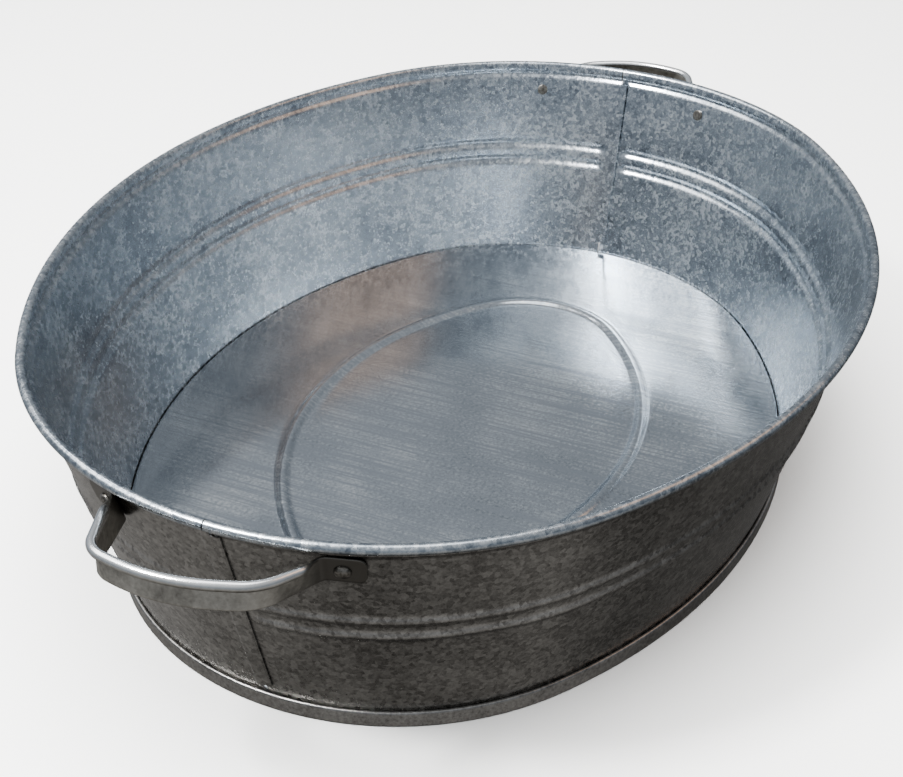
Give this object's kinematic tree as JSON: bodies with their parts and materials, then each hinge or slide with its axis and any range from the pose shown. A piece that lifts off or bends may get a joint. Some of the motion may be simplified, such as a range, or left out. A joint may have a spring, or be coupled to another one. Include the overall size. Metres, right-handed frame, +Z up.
{
  "type": "oval wash tub",
  "caption": "Low oval wash tub of folded galvanised sheet with a rolled rim, beaded flared wall, pressed oval floor ring and riveted strap handles at its ends.",
  "frame": {"origin": "on the ground under the middle of the tub", "axes": "+X along the tub towards the right handle, +Y towards the back wall half, +Z up"},
  "size_m": [0.6728, 0.4748, 0.148],
  "materials": {
    "galvanised_wall": "hot-dip galvanised sheet, fine mottled spangle, slightly dulled outside",
    "galvanised_floor": "hot-dip galvanised sheet, glossy, with fine scratches from use",
    "handle_strap": "galvanised strip, pressed, polished along the rolled edge by handling",
    "rivet": "zinc-plated steel, dulled",
    "rim_wire": "drawn steel wire, hidden in the rolled rim"
  },
  "bodies": {
    "root": {"back_wall": "galvanised_wall", "front_wall": "galvanised_wall", "bottom_pan": "galvanised_floor", "rim_wire": "rim_wire", "right_handle": "handle_strap", "left_handle": "handle_strap", "right_back_rivet": "rivet", "right_front_rivet": "rivet", "left_front_rivet": "rivet", "left_back_rivet": "rivet"}
  },
  "joints": []
}
